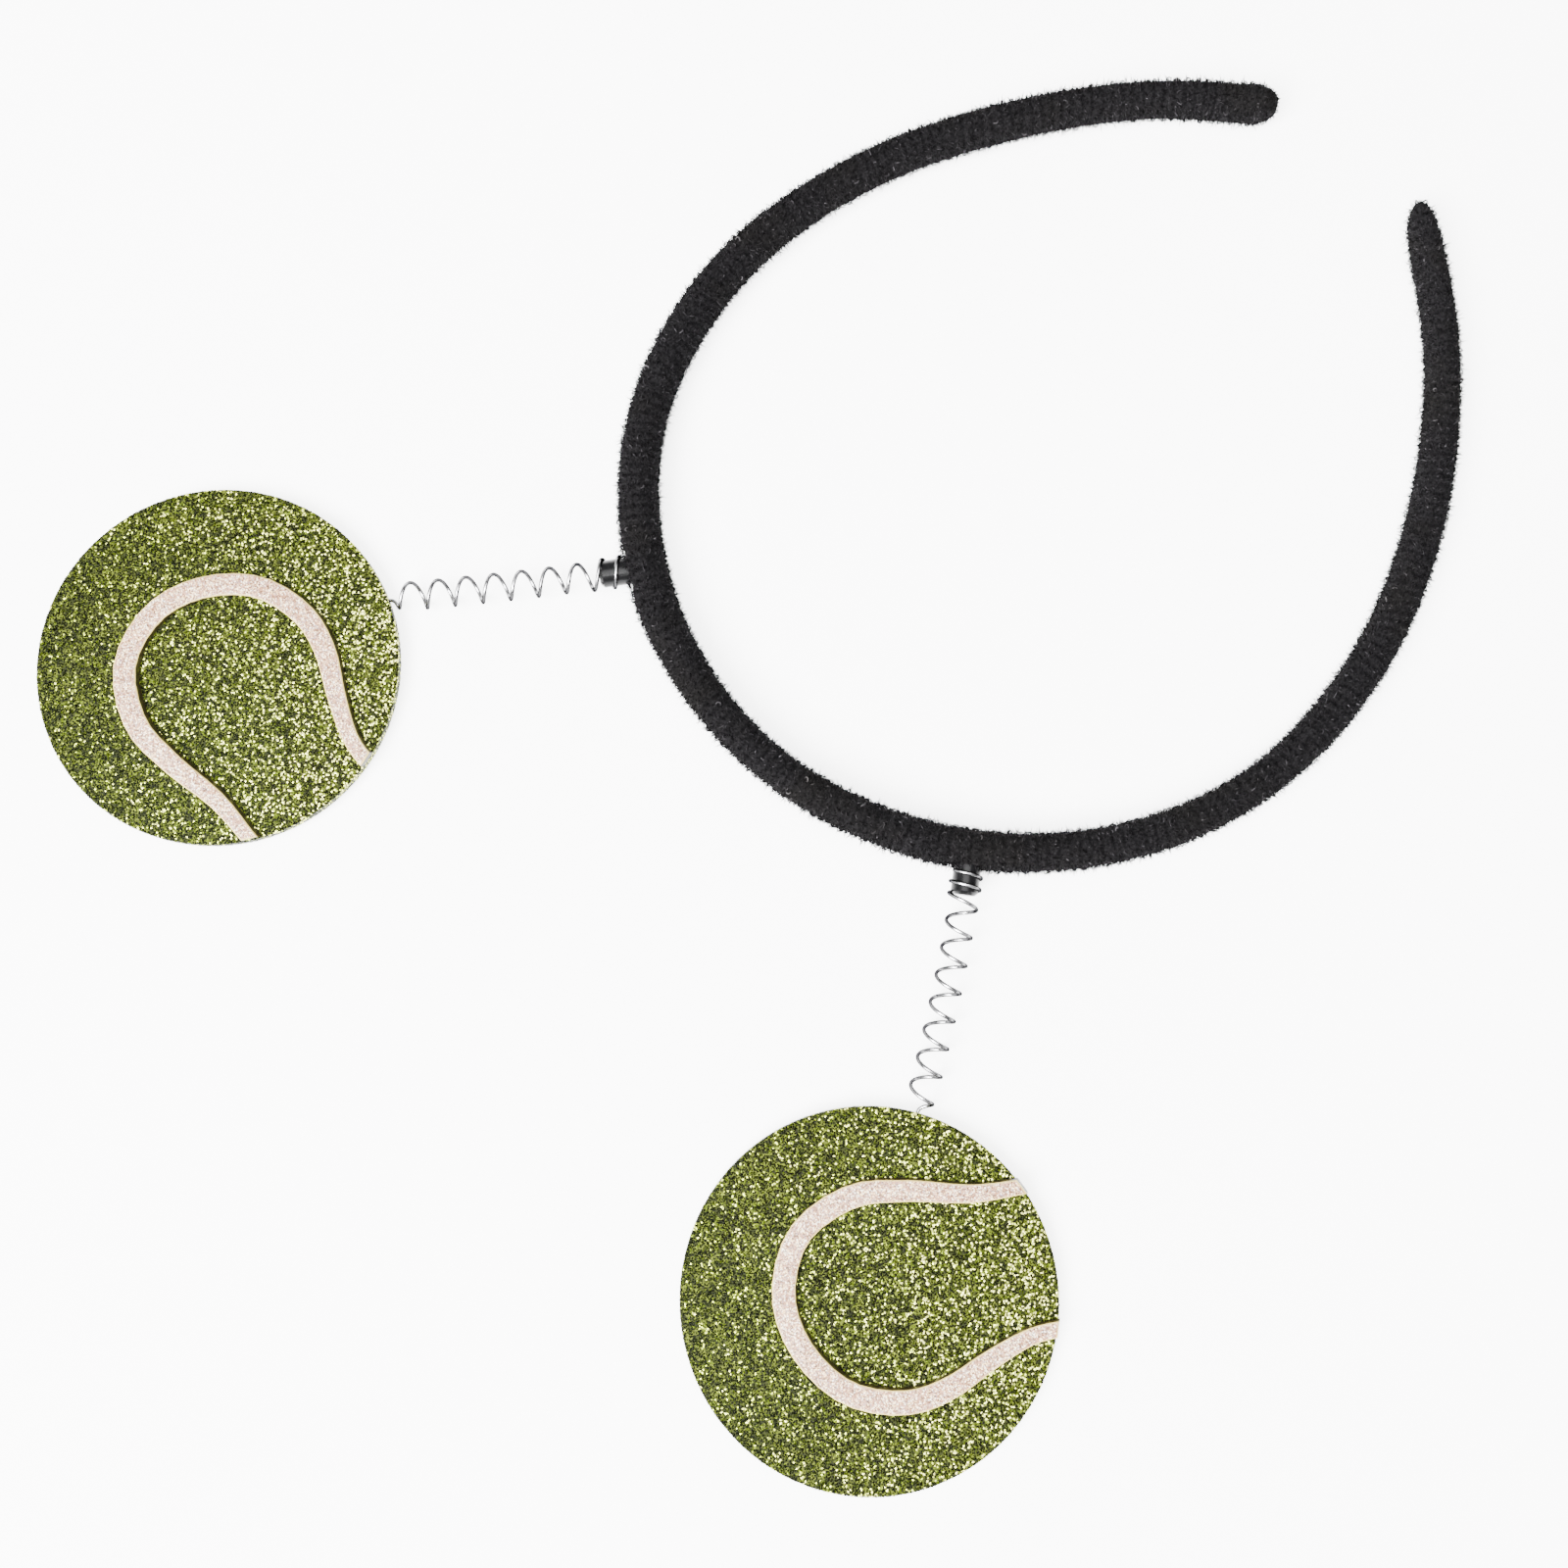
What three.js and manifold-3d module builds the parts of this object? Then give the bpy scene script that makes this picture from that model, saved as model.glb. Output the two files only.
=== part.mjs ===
import * as THREE from 'three';
import { mergeVertices } from 'three/addons/utils/BufferGeometryUtils.js';
import Module from 'manifold-3d';

// Head bopper lying on its back: +Y is up as worn, +X is the wearer's left, +Z is the front.
// All sizes are in millimetres. The origin is on the floor, under the middle of the whole outline.

// Headband
const bandRadius = 66;
const coreThickness = 1.6;
const coreHeight = 3.4;
const sleeveWall = 2.0;
const bluntEndWall = 3.5;
const taperedEndWall = 11;
const coreRounding = 0.55;
const sleeveRounding = 2.85;

// Pegs and springs
const pegDiameter = 4.2;
const pegReach = 4.2;
const pegChamfer = 0.5;
const wireDiameter = 0.5;
const springClearance = 0.25;
const freeCoilDiameter = 4.7;
const freeLength = 36;
const pegPitch = 1.9;
const freePitch = 4.6;
const tailLength = 10;
const tailLeadIn = 0.8;
const closingTurns = 0.4;

// Discs
const discDiameter = 60;
const foamThickness = 2.0;
const backingThickness = 1.0;
const rimChamfer = 0.25;
const seamThickness = 1.0;
const seamWidth = 3.8;

const clearance = 0.3;

// The two boppers. turn is where the peg stands on the band, in degrees from straight up towards +X.
// Each swing is the angle from the line before it, the same way round: band to peg, peg to spring,
// spring to disc. stretch is a share of freeLength, pegSpread of pegPitch, coilStart of a turn, and
// coilLean is the slope of the free turns.
const boppers = [
  {
    side: 'left',
    turn: 30.4,
    pegSwing: 4.5,
    springSwing: 2.1,
    discSwing: -16.2,
    stretch: 0.997,
    pegSpread: 1.53,
    coilStart: 0.982,
    coilLean: 0.07,
    seamSwing: 83,
    seamMirror: -1,
  },
  {
    side: 'right',
    turn: -32.7,
    pegSwing: 0,
    springSwing: 4.8,
    discSwing: 2.9,
    stretch: 1,
    pegSpread: 1,
    coilStart: 0.067,
    coilLean: 0.22,
    seamSwing: 55,
    seamMirror: 1,
  },
];

// Middle line of the headband from its tapered end to its blunt end: turn in degrees as above,
// reach as a share of bandRadius, swell as a share of the sleeve's thickness.
const bandStations = [
  { turn: -170.8, reach: 1.204, swell: 0.74 },
  { turn: -150, reach: 1.053, swell: 0.80 },
  { turn: -125, reach: 0.962, swell: 0.95 },
  { turn: -100, reach: 0.944, swell: 0.97 },
  { turn: -75, reach: 0.964, swell: 0.90 },
  { turn: -50, reach: 0.984, swell: 0.96 },
  { turn: -25, reach: 1.015, swell: 1.00 },
  { turn: 0, reach: 1.048, swell: 0.92 },
  { turn: 25, reach: 1.059, swell: 1.09 },
  { turn: 50, reach: 1.038, swell: 1.03 },
  { turn: 75, reach: 0.978, swell: 1.03 },
  { turn: 100, reach: 0.925, swell: 0.89 },
  { turn: 125, reach: 0.927, swell: 0.89 },
  { turn: 150, reach: 1.027, swell: 0.80 },
  { turn: 167.2, reach: 1.155, swell: 0.88 },
];

// How the sleeve closes at its ends: inset as a share of that end's wall, size as a share of the section
const taperedEnd = [
  { inset: 0, size: 0.3 },
  { inset: 0.1, size: 0.58 },
  { inset: 0.35, size: 0.86 },
  { inset: 0.7, size: 0.98 },
  { inset: 1, size: 1 },
];
const bluntEnd = [
  { inset: 0, size: 0.52 },
  { inset: 0.25, size: 0.76 },
  { inset: 0.6, size: 0.93 },
  { inset: 1, size: 1 },
];

// Middle line of the C-shaped seam strip in shares of the disc's radius, along towards the C's opening.
// width is a share of seamWidth. Both ends lie past the rim and are cut off there.
const seamStations = [
  { across: -0.26, along: 1.06, width: 0.62 },
  { across: -0.285, along: 0.92, width: 0.66 },
  { across: -0.335, along: 0.69, width: 0.78 },
  { across: -0.465, along: 0.37, width: 0.92 },
  { across: -0.533, along: 0.09, width: 1 },
  { across: -0.44, along: -0.235, width: 1 },
  { across: -0.17, along: -0.42, width: 1 },
  { across: 0.12, along: -0.42, width: 1 },
  { across: 0.4, along: -0.27, width: 1 },
  { across: 0.55, along: 0, width: 1 },
  { across: 0.56, along: 0.23, width: 0.95 },
  { across: 0.495, along: 0.5, width: 0.82 },
  { across: 0.457, along: 0.74, width: 0.7 },
  { across: 0.475, along: 0.9, width: 0.66 },
  { across: 0.51, along: 1.03, width: 0.62 },
];

// Fineness of the faceted solids
const sleeveSteps = 72;
const sleeveCrowding = 0.8;
const coreSteps = 92;
const discSides = 64;
const pegSides = 20;
const wireSides = 6;
const stepsPerTurn = 12;
const tailSteps = 4;
const seamSteps = 48;

// Sizes that follow
const cavityThickness = coreThickness + 2 * clearance;
const cavityHeight = coreHeight + 2 * clearance;
const sleeveThickness = cavityThickness + 2 * sleeveWall;
const sleeveHeight = cavityHeight + 2 * sleeveWall;
const bandMiddle = sleeveHeight / 2;
const discRadius = discDiameter / 2;
const foamBottom = backingThickness + clearance;
const foamTop = foamBottom + foamThickness;
const seamBottom = foamTop + clearance;
const pegCoilRadius = pegDiameter / 2 + springClearance + wireDiameter / 2;
const freeCoilRadius = freeCoilDiameter / 2;
const coilRest = freeCoilRadius + wireDiameter;
const tailMiddle = foamBottom + wireDiameter / 2;
const tailRadius = coilRest - tailMiddle;
const up = new THREE.Vector3(0, 0, 1);

const materials = {
  plastic: { color: 0x161618, roughness: 0.25, metalness: 0 },
  terry: { color: 0x232023, roughness: 0.95, metalness: 0 },
  wire: { color: 0xc9c9c6, roughness: 0.25, metalness: 1 },
  greenGlitter: { color: 0x8d9a35, roughness: 0.45, metalness: 0.3 },
  backing: { color: 0x34352e, roughness: 0.9, metalness: 0 },
  pearlGlitter: { color: 0xe4d7d8, roughness: 0.4, metalness: 0.1 },
};

const wasm = await Module();
wasm.setup();

function toSolid(geometry) {
  const bare = geometry.clone();
  bare.deleteAttribute('normal');
  bare.deleteAttribute('uv');
  const merged = mergeVertices(bare);
  return new wasm.Manifold(new wasm.Mesh({
    numProp: 3,
    vertProperties: new Float32Array(merged.attributes.position.array),
    triVerts: new Uint32Array(merged.index.array),
  }));
}

function fromSolid(solid) {
  const mesh = solid.getMesh();
  const geometry = new THREE.BufferGeometry();
  geometry.setAttribute('position', new THREE.BufferAttribute(mesh.vertProperties, 3));
  geometry.setIndex(new THREE.BufferAttribute(mesh.triVerts, 1));
  geometry.computeVertexNormals();
  return geometry;
}

// Value of a table's column at a place between two of its rows
function tableValue(rows, key, place, column) {
  const next = rows.findIndex((row) => row[key] >= place);
  if (next < 0) {
    return rows[rows.length - 1][column];
  }
  if (next === 0) {
    return rows[0][column];
  }
  const before = rows[next - 1];
  const after = rows[next];
  const share = (place - before[key]) / (after[key] - before[key]);
  return THREE.MathUtils.lerp(before[column], after[column], share);
}

function turnOf(point) {
  return THREE.MathUtils.radToDeg(Math.atan2(point.x, point.y));
}

// Swings a level direction by degrees from straight up towards +X
function swung(direction, degrees) {
  return direction.clone().applyAxisAngle(up, -THREE.MathUtils.degToRad(degrees));
}

function bandPoint(station) {
  const point = swung(new THREE.Vector3(0, station.reach * bandRadius, 0), station.turn);
  point.z = bandMiddle;
  return point;
}

const bandCurve = new THREE.CatmullRomCurve3(bandStations.map(bandPoint));
bandCurve.arcLengthDivisions = 2000;
const bandLength = bandCurve.getLength();

function shareAt(length) {
  return THREE.MathUtils.clamp(length / bandLength, 0, 1);
}

// Length from the tapered end at which the band passes a turn
function lengthAtTurn(turn) {
  let low = 0;
  let high = bandLength;
  while (high - low > 0.001) {
    const middle = (low + high) / 2;
    if (turnOf(bandCurve.getPointAt(shareAt(middle))) < turn) {
      low = middle;
    } else {
      high = middle;
    }
  }
  return low;
}

function outwardAt(length) {
  return new THREE.Vector3().crossVectors(up, bandCurve.getTangentAt(shareAt(length))).normalize();
}

// Rectangle with rounded corners: x across the band's wall, y front to back
function roundedSection(thickness, height, radius, cornerSteps) {
  const points = [];
  const corners = [[1, 1], [-1, 1], [-1, -1], [1, -1]];
  corners.forEach(([sideX, sideY], corner) => {
    for (let i = 0; i <= cornerSteps; i += 1) {
      const angle = (corner + i / cornerSteps) * Math.PI / 2;
      points.push(new THREE.Vector2(
        sideX * (thickness / 2 - radius) + radius * Math.cos(angle),
        sideY * (height / 2 - radius) + radius * Math.sin(angle),
      ));
    }
  });
  return new THREE.Shape(points);
}

// Bar of a section, bent along the band from one length to another. sizeAt gives the section's two
// shares at a length, and crowding, from 0 to 1, moves the steps towards the bar's ends.
function bentBar(section, from, to, steps, crowding, sizeAt) {
  const bar = new THREE.ExtrudeGeometry(section, { depth: 1, steps, bevelEnabled: false });
  const position = bar.attributes.position;
  const point = new THREE.Vector3();
  for (let i = 0; i < position.count; i += 1) {
    point.fromBufferAttribute(position, i);
    const crowded = point.z - crowding * Math.sin(2 * Math.PI * point.z) / (2 * Math.PI);
    const length = THREE.MathUtils.lerp(from, to, crowded);
    const size = sizeAt(length);
    const place = bandCurve.getPointAt(shareAt(length));
    place.addScaledVector(outwardAt(length), point.x * size.across);
    place.addScaledVector(up, point.y * size.height);
    position.setXYZ(i, place.x, place.y, place.z);
  }
  return bar;
}

function plainSize() {
  return { across: 1, height: 1 };
}

function sleeveSize(length) {
  const turn = turnOf(bandCurve.getPointAt(shareAt(length)));
  const swell = tableValue(bandStations, 'turn', turn, 'swell');
  const tapered = tableValue(taperedEnd, 'inset', length / taperedEndWall, 'size');
  const blunt = tableValue(bluntEnd, 'inset', (bandLength - length) / bluntEndWall, 'size');
  const closing = Math.min(tapered, blunt);
  return { across: swell * closing, height: closing };
}

// Where a bopper's peg, spring and disc lie
function layOut(bopper) {
  const length = lengthAtTurn(bopper.turn);
  const root = bandCurve.getPointAt(shareAt(length));
  const sleeveFace = sleeveThickness / 2 * sleeveSize(length).across;
  const pegLength = sleeveFace + pegReach;
  const level = swung(outwardAt(length), bopper.pegSwing);
  const reach = bopper.stretch * freeLength;
  const fall = (bandMiddle - coilRest) / (pegLength + reach);
  const pegDirection = level.clone().addScaledVector(up, -fall).normalize();
  const springDirection = swung(level, bopper.springSwing);
  const tip = root.clone().addScaledVector(pegDirection, pegLength);
  const end = tip.clone().addScaledVector(springDirection, reach);
  end.z = coilRest;
  const bend = tip.clone().addScaledVector(pegDirection, reach / 3);
  const axis = new THREE.CurvePath();
  axis.add(new THREE.LineCurve3(root, tip));
  axis.add(new THREE.QuadraticBezierCurve3(tip, bend, end));
  const discDirection = swung(springDirection, bopper.discSwing);
  const rim = end.clone().setZ(0);
  const centre = rim.clone().addScaledVector(discDirection, discRadius);
  return { root, sleeveFace, pegLength, pegDirection, axis, discDirection, rim, centre };
}

// Turns a piece made along +Y to point along a direction and sets its foot at a point
function aimed(geometry, foot, direction) {
  const turn = new THREE.Quaternion().setFromUnitVectors(new THREE.Vector3(0, 1, 0), direction);
  geometry.applyQuaternion(turn);
  geometry.translate(foot.x, foot.y, foot.z);
  return geometry;
}

function latheFrom(profile, sides) {
  return new THREE.LatheGeometry(profile.map(([x, y]) => new THREE.Vector2(x, y)), sides);
}

// Round plate lying level, with a chamfer round its top edge
function roundPlate(bottom, thickness, centre) {
  const profile = [[0, 0], [discRadius, 0], [discRadius, thickness - rimChamfer]];
  profile.push([discRadius - rimChamfer, thickness], [0, thickness]);
  const plate = latheFrom(profile, discSides);
  plate.rotateX(Math.PI / 2);
  plate.translate(centre.x, centre.y, bottom);
  return plate;
}

function makeCore(places) {
  const section = roundedSection(coreThickness, coreHeight, coreRounding, 1);
  const from = taperedEndWall + clearance;
  const to = bandLength - bluntEndWall - clearance;
  let solid = toSolid(bentBar(section, from, to, coreSteps, 0, plainSize));
  for (const place of places) {
    const radius = pegDiameter / 2;
    const profile = [[0, 0], [radius, 0], [radius, place.pegLength - pegChamfer]];
    profile.push([radius - pegChamfer, place.pegLength], [0, place.pegLength]);
    const peg = latheFrom(profile, pegSides);
    solid = solid.add(toSolid(aimed(peg, place.root, place.pegDirection)));
  }
  return fromSolid(solid);
}

function makeSleeve(places) {
  const section = roundedSection(sleeveThickness, sleeveHeight, sleeveRounding, 3);
  const cavitySection = roundedSection(cavityThickness, cavityHeight, coreRounding, 1);
  const cavity = bentBar(cavitySection, taperedEndWall, bandLength - bluntEndWall, coreSteps, 0, plainSize);
  let solid = toSolid(bentBar(section, 0, bandLength, sleeveSteps, sleeveCrowding, sleeveSize));
  solid = solid.subtract(toSolid(cavity));
  for (const place of places) {
    const radius = pegDiameter / 2 + clearance;
    const profile = [[0, 0], [radius, 0], [radius, place.pegLength], [0, place.pegLength]];
    const hole = latheFrom(profile, pegSides);
    solid = solid.subtract(toSolid(aimed(hole, place.root, place.pegDirection)));
  }
  return fromSolid(solid);
}

// Close turns round the peg, then open turns to the disc, then the straight tail inside it
function springPoints(bopper, place) {
  const axisLength = place.axis.getLength();
  const from = place.sleeveFace + clearance + wireDiameter / 2;
  const closePitch = pegPitch * bopper.pegSpread;
  const pegTurns = (place.pegLength - from) / closePitch;
  const open = axisLength - tailLeadIn - place.pegLength;
  // The last turn ends under the axis, three quarters of the way round
  const lastPart = 0.75 - bopper.coilStart;
  const turns = Math.max(1, Math.round(pegTurns + open / freePitch - lastPart)) + lastPart;
  const pitch = open / (turns - pegTurns);
  const steps = Math.round(turns * stepsPerTurn);
  const points = [];
  for (let i = 0; i <= steps; i += 1) {
    const turn = turns * i / steps;
    const length = from + Math.min(turn, pegTurns) * closePitch + Math.max(turn - pegTurns, 0) * pitch;
    const share = Math.min(1, length / axisLength);
    const along = place.axis.getTangentAt(share);
    const beside = new THREE.Vector3().crossVectors(along, up).normalize();
    const over = new THREE.Vector3().crossVectors(beside, along);
    const angle = 2 * Math.PI * (turn + bopper.coilStart);
    const opened = THREE.MathUtils.smoothstep(turn, pegTurns, pegTurns + 1);
    const closing = THREE.MathUtils.smoothstep(turn, turns - closingTurns, turns);
    const coilRadius = THREE.MathUtils.lerp(pegCoilRadius, freeCoilRadius, opened);
    const radius = THREE.MathUtils.lerp(coilRadius, tailRadius, closing);
    const point = place.axis.getPointAt(share);
    point.addScaledVector(beside, radius * Math.cos(angle));
    point.addScaledVector(over, radius * Math.sin(angle));
    point.addScaledVector(along, radius * Math.sin(angle) * bopper.coilLean * opened * (1 - closing));
    points.push(point);
  }
  for (let i = 0; i <= tailSteps; i += 1) {
    const point = place.rim.clone().addScaledVector(place.discDirection, tailLength * i / tailSteps);
    point.z = tailMiddle;
    points.push(point);
  }
  return points;
}

function makeSpring(bopper, place) {
  const points = springPoints(bopper, place);
  const path = new THREE.CatmullRomCurve3(points);
  path.arcLengthDivisions = points.length * 8;
  const section = new THREE.Shape();
  section.absarc(0, 0, wireDiameter / 2, 0, 2 * Math.PI);
  return new THREE.ExtrudeGeometry(section, {
    steps: points.length - 1,
    curveSegments: wireSides / 2,
    extrudePath: path,
    bevelEnabled: false,
  });
}

// Foam round with a groove under it for the spring's tail
function makeFoam(place) {
  const disc = toSolid(roundPlate(foamBottom, foamThickness, place.centre));
  const grooveWidth = 2 * (wireDiameter + clearance);
  const grooveDepth = wireDiameter + clearance;
  const grooveLength = tailLength + wireDiameter;
  const groove = new THREE.BoxGeometry(grooveWidth, 2 * grooveLength, 2 * grooveDepth);
  aimed(groove, new THREE.Vector3(place.rim.x, place.rim.y, foamBottom), place.discDirection);
  return fromSolid(disc.subtract(toSolid(groove)));
}

// C-shaped strip, drawn on the disc's own axes and cut off at its rim
function makeSeam(bopper, place) {
  const middle = new THREE.CatmullRomCurve3(seamStations.map(
    (station) => new THREE.Vector3(station.across * discRadius, station.along * discRadius, 0),
  ));
  const widths = new THREE.CatmullRomCurve3(seamStations.map(
    (station) => new THREE.Vector3(station.width * seamWidth, 0, 0),
  ));
  const sides = [[], []];
  for (let i = 0; i <= seamSteps; i += 1) {
    const share = i / seamSteps;
    const point = middle.getPoint(share);
    const tangent = middle.getTangent(share);
    const half = widths.getPoint(share).x / 2;
    sides[0].push(new THREE.Vector2(point.x - tangent.y * half, point.y + tangent.x * half));
    sides[1].unshift(new THREE.Vector2(point.x + tangent.y * half, point.y - tangent.x * half));
  }
  const outline = sides.flat().map((point) => point.setX(point.x * bopper.seamMirror));
  const shape = new THREE.Shape(outline);
  const strip = new THREE.ExtrudeGeometry(shape, { depth: seamThickness, bevelEnabled: false });
  const opening = swung(place.discDirection.clone().negate(), bopper.seamSwing);
  aimed(strip, new THREE.Vector3(place.centre.x, place.centre.y, seamBottom), opening);
  const rim = toSolid(roundPlate(seamBottom - clearance, seamThickness + 2 * clearance, place.centre));
  return fromSolid(toSolid(strip).intersect(rim));
}

const headBopper = new THREE.Group();

function addPiece(name, geometry, finish) {
  const piece = new THREE.Mesh(geometry, new THREE.MeshStandardMaterial(materials[finish]));
  piece.name = name;
  headBopper.add(piece);
}

const places = boppers.map(layOut);
addPiece('band_core', makeCore(places), 'plastic');
addPiece('band_sleeve', makeSleeve(places), 'terry');
boppers.forEach((bopper, index) => {
  const place = places[index];
  addPiece(`${bopper.side}_spring`, makeSpring(bopper, place), 'wire');
  addPiece(`${bopper.side}_disc`, makeFoam(place), 'greenGlitter');
  addPiece(`${bopper.side}_backing`, roundPlate(0, backingThickness, place.centre), 'backing');
  addPiece(`${bopper.side}_seam`, makeSeam(bopper, place), 'pearlGlitter');
});

const wholeMiddle = new THREE.Box3().setFromObject(headBopper).getCenter(new THREE.Vector3());
headBopper.position.set(-wholeMiddle.x, -wholeMiddle.y, 0);
headBopper.updateMatrixWorld(true);

export default headBopper;
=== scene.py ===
import math

import bmesh
import bpy
from mathutils import Matrix, Vector
from mathutils.bvhtree import BVHTree
from mathutils.geometry import intersect_point_line


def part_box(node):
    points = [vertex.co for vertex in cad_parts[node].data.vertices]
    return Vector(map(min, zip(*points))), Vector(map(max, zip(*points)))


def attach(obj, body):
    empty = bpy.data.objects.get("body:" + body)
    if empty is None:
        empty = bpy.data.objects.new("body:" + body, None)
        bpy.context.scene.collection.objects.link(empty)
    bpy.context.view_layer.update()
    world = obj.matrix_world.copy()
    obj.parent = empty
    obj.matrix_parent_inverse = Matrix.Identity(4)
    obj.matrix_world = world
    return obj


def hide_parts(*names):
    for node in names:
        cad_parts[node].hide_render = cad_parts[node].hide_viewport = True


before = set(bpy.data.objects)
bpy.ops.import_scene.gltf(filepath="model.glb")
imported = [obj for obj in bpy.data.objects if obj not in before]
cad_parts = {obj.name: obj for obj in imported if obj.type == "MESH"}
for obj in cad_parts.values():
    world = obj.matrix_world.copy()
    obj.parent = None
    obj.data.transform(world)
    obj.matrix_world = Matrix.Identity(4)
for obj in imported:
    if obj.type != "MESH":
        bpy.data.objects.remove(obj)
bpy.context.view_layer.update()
mm = 0.001
sides = ["left", "right"]
weldDistance = 0.002
bevelSegments = 3


# Adds a node; inputs may hold plain values or the sockets that feed them
def addNode(tree, kind, inputs=None, **settings):
    node = tree.nodes.new(kind)
    for name, value in settings.items():
        setattr(node, name, value)
    for name, value in (inputs or {}).items():
        if isinstance(value, bpy.types.NodeSocket):
            tree.links.new(value, node.inputs[name])
        else:
            node.inputs[name].default_value = value
    return node


def addRamp(tree, factor, stops):
    ramp = addNode(tree, "ShaderNodeValToRGB", {"Fac": factor})
    while len(ramp.color_ramp.elements) < len(stops):
        ramp.color_ramp.elements.new(1)
    for element, (position, color) in zip(ramp.color_ramp.elements, stops):
        element.position = position
        element.color = (*color, 1)
    return ramp.outputs["Color"]


def addMath(tree, operation, first, second=0.0):
    return addNode(tree, "ShaderNodeMath", {0: first, 1: second}, operation=operation).outputs[0]


def addMix(tree, factor, first, second, blend="MIX"):
    mix = addNode(tree, "ShaderNodeMix", data_type="RGBA", blend_type=blend)
    for index, value in ((0, factor), (6, first), (7, second)):
        if isinstance(value, bpy.types.NodeSocket):
            tree.links.new(value, mix.inputs[index])
        else:
            mix.inputs[index].default_value = value
    return mix.outputs[2]


def addRange(tree, value, low, high, lowest=0.0, highest=1.0):
    inputs = {0: value, 1: lowest, 2: highest, 3: low, 4: high}
    return addNode(tree, "ShaderNodeMapRange", inputs).outputs[0]


def addNoise(tree, place, scale, detail=2.0, roughness=0.5):
    inputs = {"Vector": place, "Scale": scale, "Detail": detail, "Roughness": roughness}
    return addNode(tree, "ShaderNodeTexNoise", inputs).outputs[0]


def addBump(tree, shader, height, strength, distance):
    inputs = {"Height": height, "Strength": strength, "Distance": distance * mm}
    tree.links.new(addNode(tree, "ShaderNodeBump", inputs).outputs[0], shader.inputs["Normal"])


def newMaterial(name, values):
    material = bpy.data.materials.new(name)
    material.use_nodes = True
    shader = material.node_tree.nodes["Principled BSDF"]
    for key, value in values.items():
        shader.inputs[key].default_value = value
    return material, material.node_tree, shader


# Object coordinates in millimetres
def millimetres(tree):
    coordinates = addNode(tree, "ShaderNodeTexCoord").outputs["Object"]
    return addNode(tree, "ShaderNodeMapping", {"Vector": coordinates, "Scale": (1 / mm,) * 3}).outputs[0]


# How far a surface faces up, from -1 to 1
def upwardness(tree):
    facing = addNode(tree, "ShaderNodeNewGeometry").outputs["Normal"]
    return addNode(tree, "ShaderNodeSeparateXYZ", {0: facing}).outputs["Z"]


def newObject(name, bm, material):
    mesh = bpy.data.meshes.new(name)
    for face in bm.faces:
        face.smooth = True
    bm.to_mesh(mesh)
    bm.free()
    mesh.materials.append(material)
    piece = bpy.data.objects.new(name, mesh)
    bpy.context.scene.collection.objects.link(piece)
    return piece


def cleanCopy(node):
    bm = bmesh.new()
    bm.from_mesh(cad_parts[node].data)
    bmesh.ops.remove_doubles(bm, verts=bm.verts, dist=weldDistance * mm)
    bm.normal_update()
    return bm


def joinQuads(bm):
    bmesh.ops.join_triangles(
        bm, faces=bm.faces,
        angle_face_threshold=math.radians(40), angle_shape_threshold=math.radians(60))


def joinFlats(bm):
    bmesh.ops.dissolve_limit(bm, angle_limit=math.radians(1), verts=bm.verts, edges=bm.edges)


def pushOut(bm, distance):
    bm.normal_update()
    for vertex in bm.verts:
        vertex.co += vertex.normal * distance * mm


def roundEdges(bm, edges, offset):
    bmesh.ops.bevel(
        bm, geom=edges, offset=offset * mm, segments=bevelSegments, profile=0.5,
        affect="EDGES", material=-1)


def sharpen(bm, degrees):
    limit = math.radians(degrees)
    for edge in bm.edges:
        edge.smooth = edge.calc_face_angle(0) < limit


def subdivide(piece, levels=2):
    modifier = piece.modifiers.new("Subdivision", "SUBSURF")
    modifier.levels = levels
    modifier.render_levels = levels


def fit(piece, slot, *nodes):
    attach(piece, "root")
    if nodes:
        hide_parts(*nodes)


def addRandom(group, kind, low, high, seed):
    ports = (2, 3) if kind == "FLOAT" else (0, 1)
    random = addNode(
        group, "FunctionNodeRandomValue", {ports[0]: low, ports[1]: high, "Seed": seed}, data_type=kind)
    return random.outputs[1 if kind == "FLOAT" else 0]


# One strand: a small closed ball, or a loop of yarn where the settings name its yarn
def addStrand(group, settings):
    if "yarn" in settings:
        path = addNode(
            group, "GeometryNodeCurvePrimitiveCircle",
            {"Resolution": settings["sides"], "Radius": 0.5}).outputs[0]
        thread = addNode(
            group, "GeometryNodeCurvePrimitiveCircle",
            {"Resolution": 3, "Radius": settings["yarn"]}).outputs[0]
        tube = addNode(group, "GeometryNodeCurveToMesh", {0: path, "Profile Curve": thread}).outputs[0]
        return addNode(
            group, "GeometryNodeTransform",
            {"Geometry": tube, "Rotation": (math.pi / 2, 0, 0),
             "Translation": (0, 0, settings["lift"])}).outputs[0]
    ball = addNode(
        group, "GeometryNodeMeshUVSphere",
        {"Segments": settings["sides"], "Rings": 2, "Radius": 0.5}).outputs[0]
    return addNode(
        group, "GeometryNodeTransform",
        {"Geometry": ball, "Translation": (0, 0, settings["lift"])}).outputs[0]


# Wave from -1 to 1 that runs along the headband, one rib a turn
def ribWave(tree, along):
    return addMath(tree, "SINE", addMath(tree, "MULTIPLY", along, math.tau / terry["rib"]))


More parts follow.
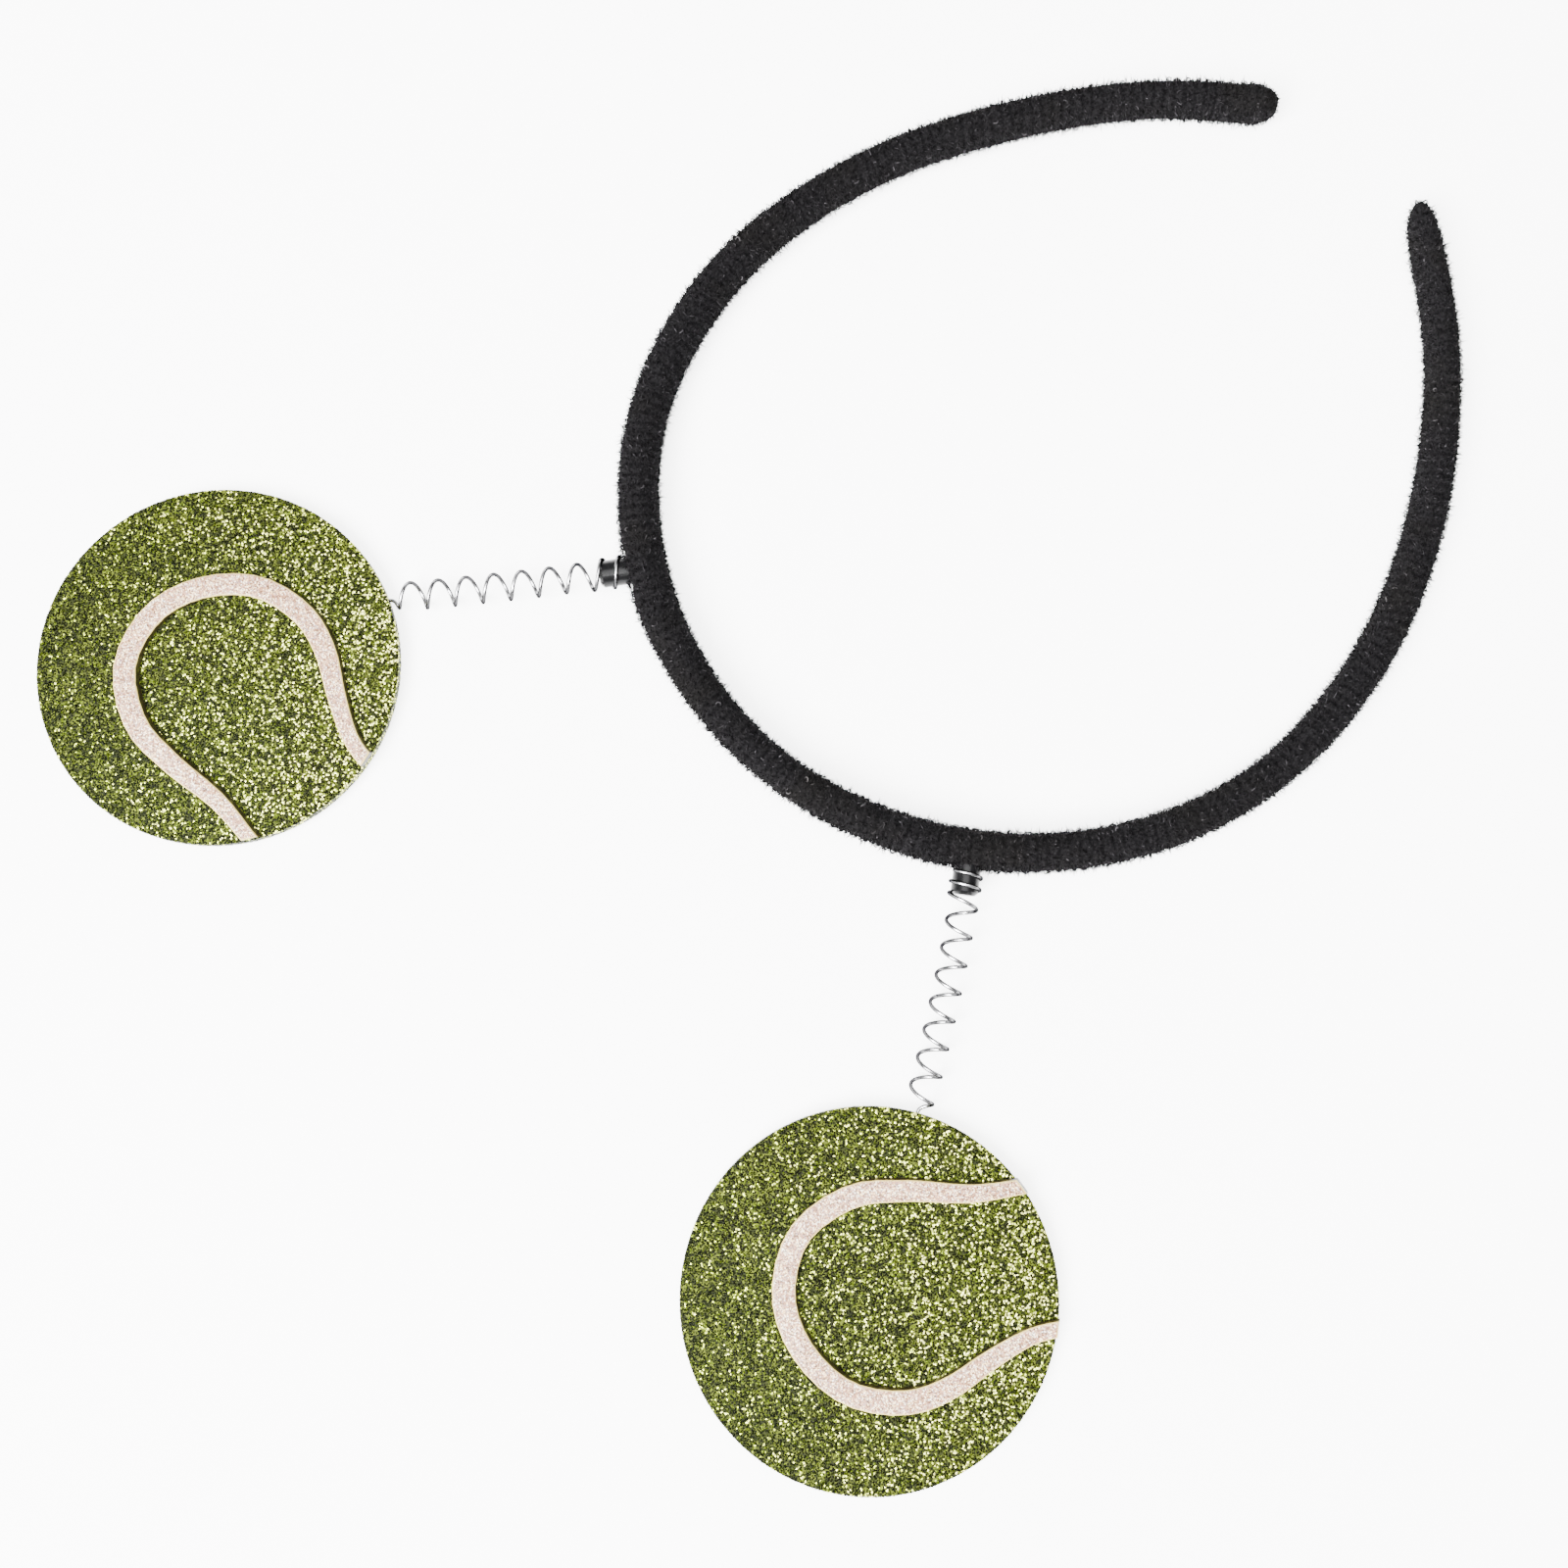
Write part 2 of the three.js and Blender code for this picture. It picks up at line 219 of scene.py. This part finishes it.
# Scatters small closed strands over a surface; only the strands are left of it
def scatter(piece, settings, material):
    seed = settings["seed"]
    group = bpy.data.node_groups.new(piece.name + "Scatter", "GeometryNodeTree")
    group.interface.new_socket("Geometry", in_out="INPUT", socket_type="NodeSocketGeometry")
    group.interface.new_socket("Geometry", in_out="OUTPUT", socket_type="NodeSocketGeometry")
    surface = addNode(group, "NodeGroupInput").outputs[0]
    points = addNode(
        group, "GeometryNodeDistributePointsOnFaces",
        {"Mesh": surface, "Distance Min": settings["spacing"] * mm,
         "Density Max": settings["density"] / mm ** 2, "Seed": seed},
        distribute_method="POISSON")
    tone = addRandom(group, "FLOAT", 0.0, 1.0, seed + 1)
    # Painted light: the tone can grow lighter along a given direction
    if "paintedLight" in settings:
        place = addNode(group, "GeometryNodeInputPosition").outputs[0]
        paintedLight = addNode(
            group, "ShaderNodeVectorMath", {0: place, 1: settings["paintedLight"]}, operation="DOT_PRODUCT")
        shift = addMath(group, "ADD", paintedLight.outputs["Value"], settings["offset"])
        tone = addMath(group, "ADD", tone, shift)
    toned = addNode(
        group, "GeometryNodeStoreNamedAttribute",
        {"Geometry": points.outputs["Points"], "Name": "tone", "Value": tone},
        data_type="FLOAT", domain="POINT").outputs[0]
    lean = math.radians(settings["lean"])
    turns = addRandom(group, "FLOAT_VECTOR", (-lean, -lean, -math.pi), (lean, lean, math.pi), seed + 2)
    turned = addNode(
        group, "FunctionNodeRotateRotation",
        {"Rotation": points.outputs["Rotation"],
         "Rotate By": addNode(group, "FunctionNodeEulerToRotation", {0: turns}).outputs[0]},
        rotation_space="LOCAL").outputs[0]
    growth = addRandom(group, "FLOAT", settings["smallest"], 1.0, seed + 3)
    if "furrow" in settings:
        along = addNode(
            group, "GeometryNodeInputNamedAttribute", {"Name": "along"}, data_type="FLOAT").outputs[0]
        rows = addRange(group, ribWave(group, along), settings["furrow"], 1.0, -1.0, 0.2)
        growth = addMath(group, "MULTIPLY", growth, rows)
    size = addNode(
        group, "ShaderNodeVectorMath",
        {0: [length * mm for length in settings["size"]], "Scale": growth}, operation="SCALE").outputs[0]
    placed = addNode(
        group, "GeometryNodeInstanceOnPoints",
        {"Points": toned, "Instance": addStrand(group, settings), "Rotation": turned, "Scale": size})
    real = addNode(group, "GeometryNodeRealizeInstances", {0: placed.outputs[0]}).outputs[0]
    flat = addNode(group, "GeometryNodeSetShadeSmooth", {0: real, "Shade Smooth": False}).outputs[0]
    dressed = addNode(group, "GeometryNodeSetMaterial", {0: flat, "Material": material}).outputs[0]
    addNode(group, "NodeGroupOutput", {0: dressed})
    piece.modifiers.new("Scatter", "NODES").node_group = group
    shown = piece.evaluated_get(bpy.context.evaluated_depsgraph_get())
    print(piece.name, "triangles", sum(len(polygon.vertices) - 2 for polygon in shown.data.polygons))


view = {
    "place": (-33.987, 60.574, 290.64),
    "target": (-6.132, 32.718, 0),
    "up": (1, -1, 0),
    "lens": 40.5,
    "sensor": 36,
}


def makeCamera():
    place = Vector(view["place"]) * mm
    backward = (place - Vector(view["target"]) * mm).normalized()
    across = Vector(view["up"]).cross(backward).normalized()
    upward = backward.cross(across)
    camera = bpy.data.objects.new("camera", bpy.data.cameras.new("camera"))
    camera.data.lens = view["lens"]
    camera.data.sensor_width = view["sensor"]
    camera.data.clip_start = 0.01
    camera.matrix_world = Matrix((across, upward, backward)).transposed().to_4x4()
    camera.location = place
    bpy.context.scene.collection.objects.link(camera)
    bpy.context.scene.camera = camera


studio = {
    "floorSize": 30000,
    "floorColor": (0.94, 0.94, 0.94, 1),
    "floorGlow": 4.6,
    "horizon": 4.6,
    "overhead": 0.3,
    "haze": (0.02, 0.24),  # heights between which the sky goes from horizon to overhead
    "lights": [
        {"name": "key", "place": (60, 900, 1100), "size": 900, "power": 130},
        {"name": "top", "place": (0, 30, 700), "size": 480, "power": 9.0},
    ],
}


def makeStudio():
    bm = bmesh.new()
    bmesh.ops.create_grid(bm, x_segments=1, y_segments=1, size=studio["floorSize"] / 2 * mm)
    paper = newMaterial("palePaper", {
        "Base Color": studio["floorColor"], "Roughness": 0.9,
        "Emission Color": (1, 1, 1, 1), "Emission Strength": studio["floorGlow"]})[0]
    newObject("floor", bm, paper)
    world = bpy.data.worlds.new("softRoom")
    world.use_nodes = True
    tree = world.node_tree
    direction = addNode(tree, "ShaderNodeTexCoord").outputs["Generated"]
    height = addNode(tree, "ShaderNodeSeparateXYZ", {0: direction}).outputs["Z"]
    strength = addRange(tree, height, studio["horizon"], studio["overhead"], *studio["haze"])
    background = tree.nodes["Background"]
    background.inputs["Color"].default_value = (1, 1, 1, 1)
    tree.links.new(strength, background.inputs["Strength"])
    bpy.context.scene.world = world
    for settings in studio["lights"]:
        data = bpy.data.lights.new(settings["name"], "AREA")
        data.size = settings["size"] * mm
        data.energy = settings["power"]
        lamp = bpy.data.objects.new(settings["name"], data)
        lamp.location = Vector(settings["place"]) * mm
        lamp.rotation_euler = lamp.location.to_track_quat("Z", "Y").to_euler()
        bpy.context.scene.collection.objects.link(lamp)


makeCamera()
makeStudio()
print("camera and studio made")


terry = {
    "loopCentre": (0.197, -36.40, 0),
    "slice": 6,
    "rib": 1.78,
    "cavity": 8,  # how far a face of the cavity looks for the wall across it
    "dark": (0.0014, 0.0013, 0.0015),
    "light": (0.0095, 0.0090, 0.0096),
    "olive": (0.0096, 0.0090, 0.0078),
    "furrowShade": 0.82,
    "knots": (1.9, 4.0, 0.8),  # scale, detail and roughness
    "wear": (0.09, 3.0),
    "tones": [(0, 0.15), (0.7, 1.3), (0.9, 2.7), (0.975, 4), (0.985, 8)],
    "matt": {"Roughness": 1.0, "Specular IOR Level": 0.04},
    "pile": {
        "spacing": 0.33, "density": 8.0, "seed": 11, "lean": 52, "smallest": 0.5, "furrow": 0.88,
        "size": (0.24, 0.24, 1.0), "sides": 3, "lift": 0.2, "lowest": -0.85,
    },
    "hairs": {
        "spacing": 0.42, "density": 14.0, "seed": 91, "lean": 44, "smallest": 0.3, "furrow": 0.25,
        "size": (0.16, 0.16, 1.95), "sides": 3, "lift": 0.3, "lowest": -0.3,
    },
    "loops": {
        "spacing": 1.3, "density": 2.0, "seed": 51, "lean": 35, "smallest": 0.7, "furrow": 0.85,
        "size": (0.85, 0.85, 0.95), "sides": 6, "yarn": 0.14, "lift": 0.15, "lowest": -0.85,
    },
}


def terryMaterial(name, strands):
    material, tree, shader = newMaterial(name, terry["matt"])
    place = millimetres(tree)
    along = addNode(tree, "ShaderNodeAttribute", attribute_name="along").outputs["Fac"]
    # Painted shade: the furrows between the ribs are darker
    ribs = addRange(tree, ribWave(tree, along), terry["furrowShade"], 1.0, -1.0, 0.0)
    blend = addMath(tree, "MULTIPLY", ribs, addNoise(tree, place, *terry["knots"]))
    fresh = addRamp(tree, blend, [(0.34, terry["dark"]), (0.6, terry["light"])])
    faded = addMix(tree, blend, (*terry["dark"], 1), (*terry["olive"], 1))
    wear = addRange(tree, addNoise(tree, place, *terry["wear"]), 0.0, 0.7, 0.5, 0.75)
    color = addMix(tree, wear, fresh, faded)
    if strands:
        tone = addNode(tree, "ShaderNodeAttribute", attribute_name="tone").outputs["Fac"]
        lifted = addRamp(tree, tone, [(position, (level,) * 3) for position, level in terry["tones"]])
        color = addMix(tree, 1.0, color, lifted, "MULTIPLY")
    else:
        addBump(tree, shader, blend, 0.8, 0.4)
    tree.links.new(color, shader.inputs["Base Color"])
    return material


# Points down the middle of the headband, one to each slice round its loop
def middleLine(bm):
    centre = Vector(terry["loopCentre"]) * mm
    slices = {}
    for vertex in bm.verts:
        reach = vertex.co - centre
        reach.z = 0
        turn = round(math.degrees(math.atan2(reach.x, reach.y)) / terry["slice"])
        slices.setdefault(turn, []).append(reach)
    for turn in sorted(slices):
        ordered = sorted(slices[turn], key=lambda reach: reach.length)
        yield centre + (ordered[0] + ordered[-1]) / 2


# Gives each point of the sleeve its distance along the headband, in millimetres
def markAlong(bm):
    line = list(middleLine(bm))
    layer = bm.verts.layers.float.new("along")
    for vertex in bm.verts:
        nearest = None
        passed = 0
        for start, end in zip(line, line[1:]):
            share = min(1, max(0, intersect_point_line(vertex.co, start, end)[1]))
            gap = (vertex.co - start.lerp(end, share)).length
            if nearest is None or gap < nearest:
                nearest = gap
                vertex[layer] = (passed + share * (end - start).length) / mm
            passed += (end - start).length


# The part of the sleeve's skin that wears strands: its cavity and its underside don't
def outerSkin(cloth, lowest):
    bm = bmesh.new()
    bm.from_mesh(cloth.data)
    skin = BVHTree.FromBMesh(bm)
    bare = []
    for face in bm.faces:
        start = face.calc_center_median() + face.normal * 0.01 * mm
        across = skin.ray_cast(start, face.normal, terry["cavity"] * mm)[0]
        if face.normal.z < lowest or across is not None:
            bare.append(face)
    bmesh.ops.delete(bm, geom=bare, context="FACES")
    return bm


def makeTerry():
    bm = cleanCopy("band_sleeve")
    joinQuads(bm)
    markAlong(bm)
    cloth = newObject("bandTerry", bm, terryMaterial("terryGround", False))
    subdivide(cloth)
    fit(cloth, "terry", "band_sleeve")
    strands = terryMaterial("terryStrands", True)
    for name in ("pile", "loops", "hairs"):
        piece = newObject("band" + name.title(), outerSkin(cloth, terry[name]["lowest"]), strands)
        subdivide(piece)
        scatter(piece, terry[name], strands)
        fit(piece, "terry")


makeTerry()
print("terry made")


peg = {
    "plastic": {"Base Color": (0.0040, 0.0040, 0.0043, 1), "Specular IOR Level": 0.12},
    "gloss": (0.18, 0.34),
    "endSides": 16,  # only a peg's end face has this many sides or more
    "edge": 0.12,
    "fatten": 0.18,
    "crease": 35,
}


def makePegs():
    material, tree, shader = newMaterial("glossPlastic", peg["plastic"])
    marks = addNoise(tree, millimetres(tree), 1.2, 4.0)
    tree.links.new(addRange(tree, marks, *peg["gloss"]), shader.inputs["Roughness"])
    bm = cleanCopy("band_core")
    joinFlats(bm)
    ends = [edge for edge in bm.edges if len(edge.link_faces) == 2 and
            max(len(face.verts) for face in edge.link_faces) >= peg["endSides"]]
    roundEdges(bm, ends, peg["edge"])
    pushOut(bm, peg["fatten"])
    sharpen(bm, peg["crease"])
    fit(newObject("bandCore", bm, material), "plastic", "band_core")


makePegs()
print("pegs made")


wire = {
    "metal": {"Metallic": 1.0, "Specular Tint": (0.2, 0.2, 0.2, 1)},
    "paintedShadeColor": (0.055, 0.055, 0.057, 1),
    "paintedHighlightColor": (0.80, 0.80, 0.82, 1),
    "facing": (0.62, 0.9),  # upward share of the surface direction, from painted shade to painted highlight
    "gloss": (0.20, 0.34),
    "fatten": 0.12,
}


def makeSprings():
    material, tree, shader = newMaterial("brightWire", wire["metal"])
    drawn = addNoise(tree, millimetres(tree), 0.9, 3.0)
    tree.links.new(addRange(tree, drawn, *wire["gloss"]), shader.inputs["Roughness"])
    # Painted shade and highlight: the wire is coloured dark where it faces sideways and light where it
    # faces up, and noise breaks the painted highlight up along the wire
    lit = addRange(tree, upwardness(tree), 0.0, 1.0, *wire["facing"])
    highlightBreakup = addRange(tree, drawn, 0.35, 1.0, 0.35, 0.65)
    shine = addMath(tree, "MULTIPLY", lit, highlightBreakup)
    color = addMix(tree, shine, wire["paintedShadeColor"], wire["paintedHighlightColor"])
    tree.links.new(color, shader.inputs["Base Color"])
    for side in sides:
        bm = cleanCopy(side + "_spring")
        joinQuads(bm)
        pushOut(bm, wire["fatten"])
        spring = newObject(side + "Spring", bm, material)
        subdivide(spring)
        fit(spring, "wire", side + "_spring")


makeSprings()
print("springs made")


disc = {
    "backInset": 0.35,
    "corner": 0.25,
    "segments": 192,
    "crease": 50,
    "underside": -0.3,  # faces that point down more than this wear no glitter
    "foamStops": [
        (0.0, (0.007, 0.009, 0.0003)), (0.5, (0.02, 0.025, 0.001)), (0.85, (0.08, 0.10, 0.006))],
    "feltDark": (0.020, 0.021, 0.018),
    "feltLight": (0.060, 0.062, 0.052),
    "gloss": {"Roughness": 0.25, "Metallic": 0.45, "Specular IOR Level": 0.05},
    "paintedLight": 0.13,
    # Tone of the grains, which differs at random; its brightest stops are painted glints on a share of
    # the grains
    "glitterStops": [
        (0.0, (0.0007, 0.0012, 0.0)), (0.47, (0.0022, 0.0035, 0.0)), (0.72, (0.0110, 0.0165, 0.0001)),
        (0.84, (0.072, 0.106, 0.002)), (0.885, (0.86, 1.0, 0.11)), (1.0, (1.0, 1.0, 0.30))],
    "grains": {
        "spacing": 0.25, "density": 34.0, "seed": 31, "lean": 20, "smallest": 0.65,
        "size": (0.62, 0.42, 0.10), "sides": 4, "lift": 0.25,
    },
}


def roundShape(centre, radius, bottom, top):
    bm = bmesh.new()
    ring = bmesh.ops.create_circle(bm, cap_ends=True, radius=radius * mm, segments=disc["segments"])
    bmesh.ops.translate(bm, verts=ring["verts"], vec=(centre.x, centre.y, bottom))
    grown = bmesh.ops.extrude_face_region(bm, geom=list(bm.faces))
    raised = [item for item in grown["geom"] if isinstance(item, bmesh.types.BMVert)]
    bmesh.ops.translate(bm, verts=raised, vec=(0, 0, top - bottom))
    bmesh.ops.recalc_face_normals(bm, faces=bm.faces)
    rims = [edge for edge in bm.edges if any(len(face.verts) > 4 for face in edge.link_faces)]
    roundEdges(bm, rims, disc["corner"])
    sharpen(bm, disc["crease"])
    return bm


def foamMaterial():
    material, tree, shader = newMaterial("greenFoam", {"Roughness": 0.8, "Specular IOR Level": 0.2})
    cells = addNode(tree, "ShaderNodeTexVoronoi", {"Vector": millimetres(tree), "Scale": 2.4})
    shades = addNode(tree, "ShaderNodeSeparateColor", {0: cells.outputs["Color"]}).outputs[0]
    tree.links.new(addRamp(tree, shades, disc["foamStops"]), shader.inputs["Base Color"])
    addBump(tree, shader, shades, 0.5, 0.15)
    return material


def feltMaterial():
    material, tree, shader = newMaterial("darkFelt", {"Roughness": 0.95, "Sheen Weight": 0.3})
    fibres = addNode(
        tree, "ShaderNodeTexNoise",
        {"Vector": millimetres(tree), "Scale": 1.8, "Detail": 6.0, "Roughness": 0.75,
         "Distortion": 1.5}).outputs[0]
    color = addRamp(tree, fibres, [(0.3, disc["feltDark"]), (0.7, disc["feltLight"])])
    tree.links.new(color, shader.inputs["Base Color"])
    addBump(tree, shader, fibres, 0.6, 0.2)
    return material


def glitterMaterial():
    material, tree, shader = newMaterial("greenGlitter", disc["gloss"])
    tone = addNode(tree, "ShaderNodeAttribute", attribute_name="tone").outputs["Fac"]
    clumps = addRange(tree, addNoise(tree, millimetres(tree), 0.55, 3.0, 0.6), -0.16, 0.16, 0.3, 0.7)
    color = addRamp(tree, addMath(tree, "ADD", tone, clumps), disc["glitterStops"])
    tree.links.new(color, shader.inputs["Base Color"])
    return material


def makeDiscs():
    foam = foamMaterial()
    felt = feltMaterial()
    glitter = glitterMaterial()
    for side in sides:
        low, high = (Vector(corner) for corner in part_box(side + "_disc"))
        backLow, backHigh = (Vector(corner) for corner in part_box(side + "_backing"))
        centre = (low + high) / 2
        radius = (high.x - low.x) / 2 / mm
        backRadius = radius - disc["backInset"]
        back = newObject(side + "Back", roundShape(centre, backRadius, backLow.z, backHigh.z), felt)
        fit(back, "backing_felt", side + "_backing")
        body = newObject(side + "Foam", roundShape(centre, radius, backHigh.z, high.z), foam)
        fit(body, "green_glitter", side + "_disc")
        skin = roundShape(centre, radius, backHigh.z, high.z)
        under = [face for face in skin.faces if face.normal.z < disc["underside"]]
        bmesh.ops.delete(skin, geom=under, context="FACES")
        grains = newObject(side + "Glitter", skin, glitter)
        # Painted light: the grains grow lighter towards one side of each disc
        paintedLight = Vector((-1, -1, 0)).normalized() * disc["paintedLight"] / (radius * mm)
        seed = disc["grains"]["seed"] + 10 * sides.index(side)
        spread = {"seed": seed, "paintedLight": paintedLight, "offset": -paintedLight.dot(centre)}
        scatter(grains, disc["grains"] | spread, glitter)
        fit(grains, "green_glitter")


makeDiscs()
print("discs made")


seam = {
    "corner": 0.3,
    "crease": 50,
    # The wall's foot leans away from the key light, so the dark wall shows on its shaded side as a
    # painted shadow line
    "shadowLineSlant": (0, -0.35, 0),
    "top": (0.93, 0.97),  # upward share of the surface direction, from the painted cut edge to glitter
    "gloss": {"Roughness": 0.35, "Specular IOR Level": 0.4},
    # Cut edge colours: a dark wall that is partly the foam's cut edge and partly painted shadow, and a
    # cream bevel that is partly foam colour and partly painted highlight
    "cutEdgeAndShadeStops": [(0.34, (0.028, 0.022, 0.007)), (0.5, (0.66, 0.50, 0.17))],
    "stops": [
        (0.0, (0.06, 0.026, 0.014)), (0.28, (0.28, 0.14, 0.080)), (0.55, (0.52, 0.27, 0.155)),
        (0.70, (0.26, 0.21, 0.24)), (0.80, (0.95, 0.66, 0.30)), (1.0, (1.0, 0.96, 0.86))],
    "grains": {
        "spacing": 0.27, "density": 30.0, "seed": 71, "lean": 26, "smallest": 0.6,
        "size": (0.46, 0.34, 0.06), "sides": 4, "lift": 0.2,
    },
}


def pearlMaterial(name, grains):
    material, tree, shader = newMaterial(name, seam["gloss"])
    if grains:
        tone = addNode(tree, "ShaderNodeAttribute", attribute_name="tone").outputs["Fac"]
        pearl = addRamp(tree, tone, seam["stops"])
    else:
        cells = addNode(tree, "ShaderNodeTexVoronoi", {"Vector": millimetres(tree), "Scale": 5.0})
        tone = addNode(tree, "ShaderNodeSeparateColor", {0: cells.outputs["Color"]}).outputs[0]
        upward = upwardness(tree)
        # Painted shade and highlight by facing: dark on the walls, cream on the bevel, glitter on top
        cutEdgeAndShade = addRamp(tree, upward, seam["cutEdgeAndShadeStops"])
        glitter = addRamp(tree, tone, seam["stops"])
        pearl = addMix(tree, addRange(tree, upward, 0.0, 1.0, *seam["top"]), cutEdgeAndShade, glitter)
        addBump(tree, shader, tone, 0.4, 0.08)
    tree.links.new(pearl, shader.inputs["Base Color"])
    return material


def makeSeams():
    ground = pearlMaterial("pearlGround", False)
    sparkle = pearlMaterial("pearlGrains", True)
    for side in sides:
        bm = cleanCopy(side + "_seam")
        joinFlats(bm)
        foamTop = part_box(side + "_disc")[1][2]
        middle = sum(corner[2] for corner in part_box(side + "_seam")) / 2
        for vertex in bm.verts:
            if vertex.co.z < middle:
                vertex.co.z = foamTop
                vertex.co += Vector(seam["shadowLineSlant"]) * mm
        upper = [edge for edge in bm.edges if all(vertex.co.z > middle for vertex in edge.verts)]
        roundEdges(bm, upper, seam["corner"])
        sharpen(bm, seam["crease"])
        bm.normal_update()
        skin = bm.copy()
        strip = newObject(side + "Seam", bm, ground)
        fit(strip, "pearl_glitter", side + "_seam")
        walls = [face for face in skin.faces if face.normal.z < seam["top"][1]]
        bmesh.ops.delete(skin, geom=walls, context="FACES")
        grains = newObject(side + "SeamGlitter", skin, sparkle)
        seed = seam["grains"]["seed"] + 10 * sides.index(side)
        scatter(grains, seam["grains"] | {"seed": seed}, sparkle)
        fit(grains, "pearl_glitter")


makeSeams()
print("seams made")
